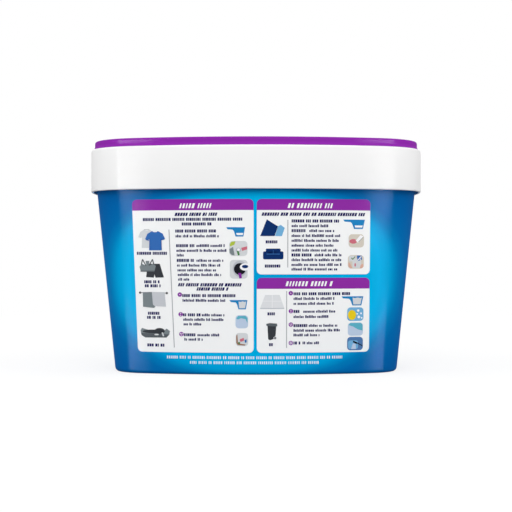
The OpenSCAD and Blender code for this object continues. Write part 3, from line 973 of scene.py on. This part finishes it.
def draw_washers():
    """The thumbnails of the left panel: two machines, a basin and a basket."""
    at = ON_LEFT
    ink("light", 1, at, box(63.1, 26.8, 74.8, 36.4, 2.2))
    ink("lime", 2, at, [(63.5, 28.9), (64.6, 27.3), (67.2, 27.0), (66.4, 29.2), (63.7, 30.4)])
    ink("grey", 2, at, [(63.2, 32.0), (65.6, 30.6), (66.6, 36.1), (64.7, 35.8), (63.4, 34.4)])
    ink("rose", 2, at, [(70.8, 31.2), (74.6, 30.2), (74.6, 32.2), (71.4, 33.2)])
    ink("silver", 2, at, oval(69.0, 32.6, 1.7, 1.5))
    ink("green", 3, at, bar((68.6, 33.2), (69.3, 36.0), 1.2))
    ink("white", 4, at, disc(69.1, 32.4, 0.9, 14))
    ink("light", 1, at, box(63.5, 38.9, 74.9, 51.0, 2.2))
    ink("silver", 2, at, oval(69.9, 44.6, 4.6, 5.2))
    ink("black", 3, at, disc(69.9, 44.8, 3.8))
    ink("purple", 4, at, [(68.9, 47.4), (70.8, 47.4), (71.3, 50.6), (69.6, 50.9)])
    ink("white", 4, at, oval(73.3, 43.5, 3.4, 2.3))
    ink("deep_blue", 5, at, oval(73.3, 43.2, 2.0, 1.1))
    ink("pale_blue", 1, at, box(67.1, 74.6, 75.2, 83.1, 2.2))
    water = [
        (67.6, 76.6), (68.8, 75.1), (73.4, 75.0), (74.8, 76.4),
        (74.8, 79.8), (73.6, 77.2), (70.6, 76.5), (68.6, 77.4),
    ]
    ink("teal", 2, at, water)
    ink("light", 1, at, box(67.2, 86.1, 75.2, 94.6, 2.0))
    basket = [
        (67.5, 88.0), (68.3, 87.0), (68.7, 92.8), (73.6, 93.6),
        (73.0, 94.3), (68.4, 93.9), (67.5, 92.4),
    ]
    ink("brown", 2, at, basket)
    ink("rose", 3, at, [(69.7, 90.3), (72.3, 89.2), (72.7, 91.1), (70.2, 91.9)])
    ink("green", 3, at, oval(69.4, 92.6, 0.7, 0.6, 14))
    ink("blue", 3, at, [(72.9, 90.7), (74.2, 90.2), (74.3, 92.2), (73.2, 92.5)])


def draw_upper_panel():
    at = ON_UPPER
    ink("deep_blue", 1, at, [(6.4, 13.0), (13.6, 17.5), (11.4, 23.7), (2.2, 23.7)])
    ink("sky", 1, at, [(13.7, 17.3), (15.4, 16.5), (17.9, 18.5), (16.1, 23.7), (11.6, 23.7)])
    ink("deep_blue", 1, at, box(5.8, 31.7, 15.3, 36.0, 0.6), box(4.0, 33.5, 17.1, 38.6, 0.9))
    ink("blue", 2, at, bar((6.3, 35.2), (14.8, 35.2), 0.5), bar((10.55, 32.4), (10.55, 34.9), 0.25))
    ink("rule_grey", 1, at, bar((19.9, 13.3), (19.9, 43.8), 0.5))
    draw_cup(at, 55.6, 13.0, 14.3, False)
    ink("sand", 1, at, box(59.3, 22.4, 69.4, 30.9, 2.2))
    ink("rose", 2, at, oval(62.3, 27.0, 2.5, 1.5))
    ink("white", 3, at, [(63.9, 26.6), (67.0, 22.9), (69.0, 23.7), (65.6, 27.9)])
    ink("grey", 4, at, bar((65.7, 27.4), (69.0, 24.1), 0.3))
    ink("sand", 1, at, box(58.9, 35.9, 69.4, 44.6, 2.2))
    ink("green", 3, at, bar((61.2, 37.6), (62.1, 38.7), 0.55), bar((62.1, 38.7), (63.6, 36.8), 0.55))
    ink("blue", 2, at, [(64.8, 36.1), (68.0, 36.2), (68.2, 38.9), (65.2, 39.8)])
    ink("white", 3, at, bar((65.2, 39.4), (67.8, 36.6), 0.5))
    ink("rose", 3, at, oval(63.7, 42.2, 0.5, 1.2, 14))
    ink("light", 2, at, box(59.6, 36.3, 63.9, 40.0, 0.8), box(61.9, 38.0, 67.6, 44.2, 0.8))
    ink("skin", 3, at, [(59.2, 40.6), (60.4, 41.2), (61.9, 44.3), (60.6, 44.5), (59.4, 43.4)])
    ink("skin", 3, at, [(68.9, 41.4), (67.3, 42.2), (66.8, 44.4), (68.2, 44.4), (69.2, 43.4)])


def draw_lower_panel():
    at = ON_LOWER
    ink("tile", 1, at, [(5.4, 11.0), (14.7, 11.0), (17.7, 19.4), (2.2, 19.4)])
    ink("silver", 1, at, box(2.2, 19.4, 17.7, 20.0))
    ink("white", 2, at, bar((10.0, 11.0), (9.9, 19.4), 0.25), bar((4.0, 15.0), (16.1, 15.0), 0.2))
    ink("dark", 1, at, [(6.9, 30.6), (12.6, 30.4), (12.2, 36.5), (11.7, 39.3), (8.4, 40.3), (7.3, 39.6)])
    ink("slate", 2, at, [(6.0, 29.8), (8.2, 29.2), (13.0, 29.5), (13.3, 31.2), (12.4, 31.4), (6.4, 31.1)])
    ink("light", 3, at, disc(11.8, 38.9, 1.0, 16))
    ink("dark", 4, at, disc(11.8, 38.9, 0.6, 16))
    ink("rule_grey", 1, at, bar((19.25, 8.5), (19.25, 45.4), 0.5))
    draw_cup(at, 54.9, 12.1, 14.4, True)
    for k, (across, down) in enumerate(((21.9, 9.9), (22.0, 21.5), (22.0, 30.2), (22.0, 42.2))):
        draw_step(at, across, down, k + 1)
    ink("sky", 1, at, box(58.7, 19.3, 69.5, 28.2, 2.2))
    ink("yellow", 2, at, oval(61.9, 24.3, 2.7, 3.3))
    bubbles = [
        (66.0, 21.4, 0.8), (67.9, 23.3, 0.6), (66.4, 25.6, 0.9),
        (68.3, 26.2, 0.5), (65.3, 23.6, 0.5),
    ]
    ink("white", 2, at, *[disc(across, down, radius, 12) for across, down, radius in bubbles])
    ink("pale_blue", 1, at, box(59.2, 29.2, 69.2, 37.9, 2.2))
    water = [
        (59.6, 30.8), (60.8, 29.5), (68.0, 29.5), (69.0, 30.8),
        (69.0, 34.6), (66.0, 33.8), (62.8, 31.9),
    ]
    ink("teal", 2, at, water)
    ink("steel", 1, at, box(58.8, 38.6, 69.3, 47.4, 2.2))
    ink("sky", 2, at, box(59.5, 40.9, 66.0, 46.6, 1.4))
    ink("black", 3, at, bar((62.7, 41.6), (65.6, 42.9), 1.1), bar((65.2, 42.4), (69.0, 44.6), 0.6))
    ink("pale_blue", 4, at, [(62.6, 42.9), (64.4, 43.2), (64.6, 46.6), (61.4, 46.6)])


def make_pictures():
    draw_left_column()
    draw_washers()
    draw_upper_panel()
    draw_lower_panel()
    for (colour, level), shapes in sheet.items():
        name = "picture_" + colour + "_" + str(level)
        printed(name, shapes, level, inks[colour], "pictures")


# Contents
SCOOP_MID = Vector(((scoop_low.x + scoop_high.x) / 2, SCOOP_Y))
SCOOP_SEAT = 20.0
SEAT_BLEND = 14.0
POWDER_RINGS = 46
# The powder's mean dip, and the height and width of its swells and of its ripples
DIP = 1.6
SWELL_H = 2.4
SWELL_W = 38.0
RIPPLE_H = 0.35
RIPPLE_W = 6.0


def powder_point(x, y):
    """A point of the powder's top. It lies under the solid's top, but not where the scoop stands."""
    swell = noise.fractal(Vector((x, y, 3.0)) / SWELL_W, 1.0, 2.0, 3)
    ripple = noise.fractal(Vector((x, y, 9.0)) / RIPPLE_W, 1.0, 2.0, 4)
    away = (Vector((x, y)) - SCOOP_MID).length - SCOOP_SEAT
    near_scoop = min(max(away / SEAT_BLEND, 0.0), 1.0)
    return (x, y, FILL_Z - max(DIP + SWELL_H * swell + RIPPLE_H * ripple, 0.0) * near_scoop)


def make_powder():
    """Loose powder: its top is uneven, and a little lower than the solid's in places."""
    rim = outline(inner_inset(FILL_Z) + POWDER_GAP)
    foot = outline(inner_inset(FLOOR_Z) + POWDER_GAP)
    count = len(rim)
    verts = [(p.x, p.y, FLOOR_Z) for p in foot]
    for j in range(POWDER_RINGS):
        share = 1 - j / POWDER_RINGS
        verts += [powder_point(p.x * share, p.y * share) for p in rim]
    verts.append(powder_point(0.0, 0.0))
    faces = [tuple(reversed(range(count)))]
    for j in range(POWDER_RINGS):
        faces += ring_faces(j * count, (j + 1) * count, count)
    last = POWDER_RINGS * count
    for i in range(count):
        faces.append((last + i, last + (i + 1) % count, last + count))
    mesh = new_mesh("powder_fill", verts, faces)
    piece = add_piece("powder_fill", mesh, powder_white, sharp=60)
    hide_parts("powder")


def scoop_profile(height):
    """Section of the cup as (radius, height): up its outside, over the rim and down its inside."""
    foot = SCOOP_R - SCOOP_TAPER
    mouth = SCOOP_R - SCOOP_WALL
    inner = foot - SCOOP_WALL
    rim = SCOOP_R + SCOOP_LIP
    rim_z = height - HANDLE_T
    foot_r = 1.2
    foot_cut = 0.3
    floor_r = 2.0
    floor_cut = 0.6
    slope = 0.1
    edge = 0.4
    rim_edge = 0.5
    return [
        (foot - foot_r, 0.0),
        (foot - foot_cut, foot_cut),
        (foot, foot_r),
        (SCOOP_R - slope, rim_z),
        (rim - edge, rim_z),
        (rim, rim_z + edge),
        (rim, height - rim_edge),
        (rim - rim_edge, height),
        (mouth + edge, height),
        (mouth, height - edge),
        (inner + slope, SCOOP_WALL + floor_r),
        (inner - floor_cut, SCOOP_WALL + floor_cut),
        (inner - floor_r, SCOOP_WALL),
    ]


def make_scoop():
    profile = scoop_profile(scoop_high.z - scoop_low.z)
    n = len(profile)
    turns = 72
    verts, faces = [], []
    for k in range(turns):
        angle = 2 * math.pi * k / turns
        for radius, z in profile:
            p = SCOOP_MID + radius * Vector((math.cos(angle), math.sin(angle)))
            verts.append((p.x, p.y, scoop_low.z + z))
        for j in range(n - 1):
            a, b = k * n + j, (k + 1) % turns * n + j
            faces.append((a, b, b + 1, a + 1))
    faces.append(tuple(k * n for k in range(turns))[::-1])
    faces.append(tuple(k * n + n - 1 for k in range(turns)))
    cup = plain_mesh("cup_form", verts, faces)

    def slab(name, ring, past):
        """A form over a flat ring beside the cup, as thick as the handle and past it by a length."""
        place = [(SCOOP_MID.x + x, SCOOP_MID.y + y) for x, y in ring]
        ends = (scoop_high.z - HANDLE_T - past, scoop_high.z + past)
        low, high = ([(x, y, z) for x, y in place] for z in ends)
        return plain_mesh(name, *loft(low, high))

    root = SCOOP_R - HANDLE_ROOT
    reach = SCOOP_R + HANDLE_L - HANDLE_W / 2
    flat = [(-HANDLE_W / 2, root), (HANDLE_W / 2, root)] + arc(0.0, reach, HANDLE_W / 2, 0, 180, 16)
    boolean(cup, "UNION", slab("handle_form", flat, 0.0))
    boolean(cup, "DIFFERENCE", slab("hole_form", disc(0.0, reach, HANDLE_W / 6, 32), CUT))
    piece = add_piece("scoop_shell", take_mesh(cup), blue_scoop, sharp=40)
    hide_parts("scoop")


# Studio
EYE = Vector((0.0, -0.9072, 0.07705))
LENS = 91.42
SENSOR = 36.0


def make_camera():
    data = bpy.data.cameras.new("camera")
    data.lens = LENS
    data.sensor_width = SENSOR
    camera = add_object("camera", data)
    camera.location = EYE
    camera.rotation_euler = (math.pi / 2, 0.0, 0.0)
    bpy.context.scene.camera = camera


def seen_directly(tree):
    """1 on rays from the camera, from gloss or through glass, and 0 on rays that light the object."""
    rays = add_node(tree, "ShaderNodeLightPath").outputs
    first = maths(tree, "ADD", rays["Is Camera Ray"], rays["Is Glossy Ray"])
    return maths(tree, "ADD", first, rays["Is Transmission Ray"], clamp=True)


AMBIENT = 0.5


def make_world():
    world = bpy.data.worlds.new("studio")
    world.use_nodes = True
    tree = world.node_tree
    shade = tree.nodes["Background"]
    strength = mapped(tree, seen_directly(tree), 0.0, 1.0, AMBIENT, 1.0)
    tree.links.new(strength, shade.inputs["Strength"])
    shade.inputs["Color"].default_value = (1.0, 1.0, 1.0, 1.0)
    bpy.context.scene.world = world


FLOOR_SIZE = 12.0
SHADOW_SHARE = 0.25
SHADOW_NEAR = 0.2
SHADOW_FAR = 0.9
FLOOR_SEEN = (0.9, 0.9, 0.9, 1.0)
FLOOR_BOUNCE = (0.43, 0.43, 0.43, 1.0)


def flat_card(name, x, low, high, upright):
    """A four-sided stage mesh, from -x to x and from low to high along Z, or along Y where it lies."""
    corners = [(-x, low), (x, low), (x, high), (-x, high)]
    mesh = bpy.data.meshes.new(name)
    mesh.from_pydata([(u, 0.0, v) if upright else (u, v, 0.0) for u, v in corners], [], [(0, 1, 2, 3)])
    card = add_object(name, mesh)
    return card


def make_floor():
    """White where it is far from the object, and near it a share of lit floor, which holds the shadow."""
    half = FLOOR_SIZE / 2
    floor = flat_card("floor", half, -half, half, upright=False)
    floor.visible_glossy = False
    material = bpy.data.materials.new("floor_white")
    material.use_nodes = True
    tree = material.node_tree
    shader = tree.nodes["Principled BSDF"]
    shader.inputs["Roughness"].default_value = 0.9
    shader.inputs["Specular IOR Level"].default_value = 0.0
    seen = seen_directly(tree)
    tinted(tree, shader, FLOOR_BOUNCE, FLOOR_SEEN, seen)
    far = add_node(tree, "ShaderNodeVectorMath", operation="LENGTH")
    tree.links.new(object_place(tree), far.inputs[0])
    white = mapped(tree, far.outputs["Value"], SHADOW_NEAR, SHADOW_FAR, 1.0 - SHADOW_SHARE, 1.0)
    mix = add_node(tree, "ShaderNodeMixShader")
    tree.links.new(maths(tree, "MULTIPLY", white, seen), mix.inputs["Fac"])
    tree.links.new(shader.outputs[0], mix.inputs[1])
    tree.links.new(add_node(tree, "ShaderNodeEmission").outputs[0], mix.inputs[2])
    tree.links.new(mix.outputs[0], tree.nodes["Material Output"].inputs["Surface"])
    floor.data.materials.append(material)


# What the lamps aim at, and each lamp's name, place in metres, width, height and power
MIDDLE = Vector((0.0, 0.0, 0.075))
LAMPS = [
    ("key_back", (0.0, -1.5, 1.1), 1.5, 1.1, 18.0),
    ("key_front", (0.0, 1.5, 1.1), 1.5, 1.1, 11.0),
    ("side_left", (-1.5, -0.25, 1.0), 1.1, 1.1, 9.5),
    ("side_right", (1.5, -0.25, 1.0), 1.1, 1.1, 9.5),
]


def make_lights():
    for name, place, width, tall, power in LAMPS:
        data = bpy.data.lights.new(name, "AREA")
        data.shape = "RECTANGLE"
        data.size = width
        data.size_y = tall
        data.energy = power
        lamp = add_object(name, data)
        lamp.location = place
        lamp.rotation_euler = (MIDDLE - Vector(place)).to_track_quat("-Z", "Y").to_euler()
        lamp.visible_glossy = False


# Two tall soft cards stand beside the camera. They show in the gloss and light nothing.
CARD_TURN = 54.5
CARD_TILT = 10.0
CARD_REACH = 0.9
CARD_HALF = 0.33
CARD_CORE = 0.17
CARD_LOW = -0.45
CARD_HIGH = 0.42
CARD_DIM_Z = -0.085
CARD_DIM_HALF = 0.085
CARD_DIM_SHARE = 0.15
CARD_FADE_FROM = 0.62
CARD_FADE_TO = 0.8
CARD_TOP_SHARE = 0.45
CARD_GLOW = 58.0


def card_material():
    """Light that fades toward the card's sides and top, and in a level band across it."""
    material = bpy.data.materials.new("card_light")
    material.use_nodes = True
    tree = material.node_tree
    tree.nodes.remove(tree.nodes["Principled BSDF"])
    glow = add_node(tree, "ShaderNodeEmission")
    axes = object_axes(tree)

    def fade(value, middle, start, end, low, high):
        away = maths(tree, "ABSOLUTE", maths(tree, "SUBTRACT", value, middle))
        return mapped(tree, away, start, end, low, high, "SMOOTHSTEP")

    sides = fade(axes["X"], 0.0, CARD_CORE, CARD_HALF, CARD_GLOW, 0.0)
    band = fade(axes["Z"], CARD_DIM_Z, CARD_DIM_HALF / 2, CARD_DIM_HALF, CARD_DIM_SHARE, 1.0)
    top = fade(axes["Z"], CARD_LOW, CARD_FADE_FROM, CARD_FADE_TO, 1.0, CARD_TOP_SHARE)
    strength = maths(tree, "MULTIPLY", maths(tree, "MULTIPLY", sides, band), top)
    tree.links.new(strength, glow.inputs["Strength"])
    tree.links.new(glow.outputs[0], tree.nodes["Material Output"].inputs["Surface"])
    return material


def make_cards():
    material = card_material()
    for side, name in ((-1, "card_left"), (1, "card_right")):
        turn = math.radians(side * CARD_TURN)
        card = flat_card(name, CARD_HALF, CARD_LOW, CARD_HIGH, upright=True)
        card.data.materials.append(material)
        card.location = (CARD_REACH * math.sin(turn), -CARD_REACH * math.cos(turn), 0.0)
        card.rotation_euler = (0.0, -side * math.radians(CARD_TILT), turn)
        card.visible_camera = False
        card.visible_diffuse = False
        card.visible_transmission = False
        card.visible_shadow = False


make_camera()
make_world()
make_floor()
make_lights()
make_cards()
make_tub()
make_film()
make_collar()
make_lid()
make_powder()
make_scoop()
make_panels()
make_text()
make_pictures()

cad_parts["hinge_strap"].data.materials.clear()
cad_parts["hinge_strap"].data.materials.append(purple_plastic)

bpy.context.scene.view_settings.view_transform = "Standard"
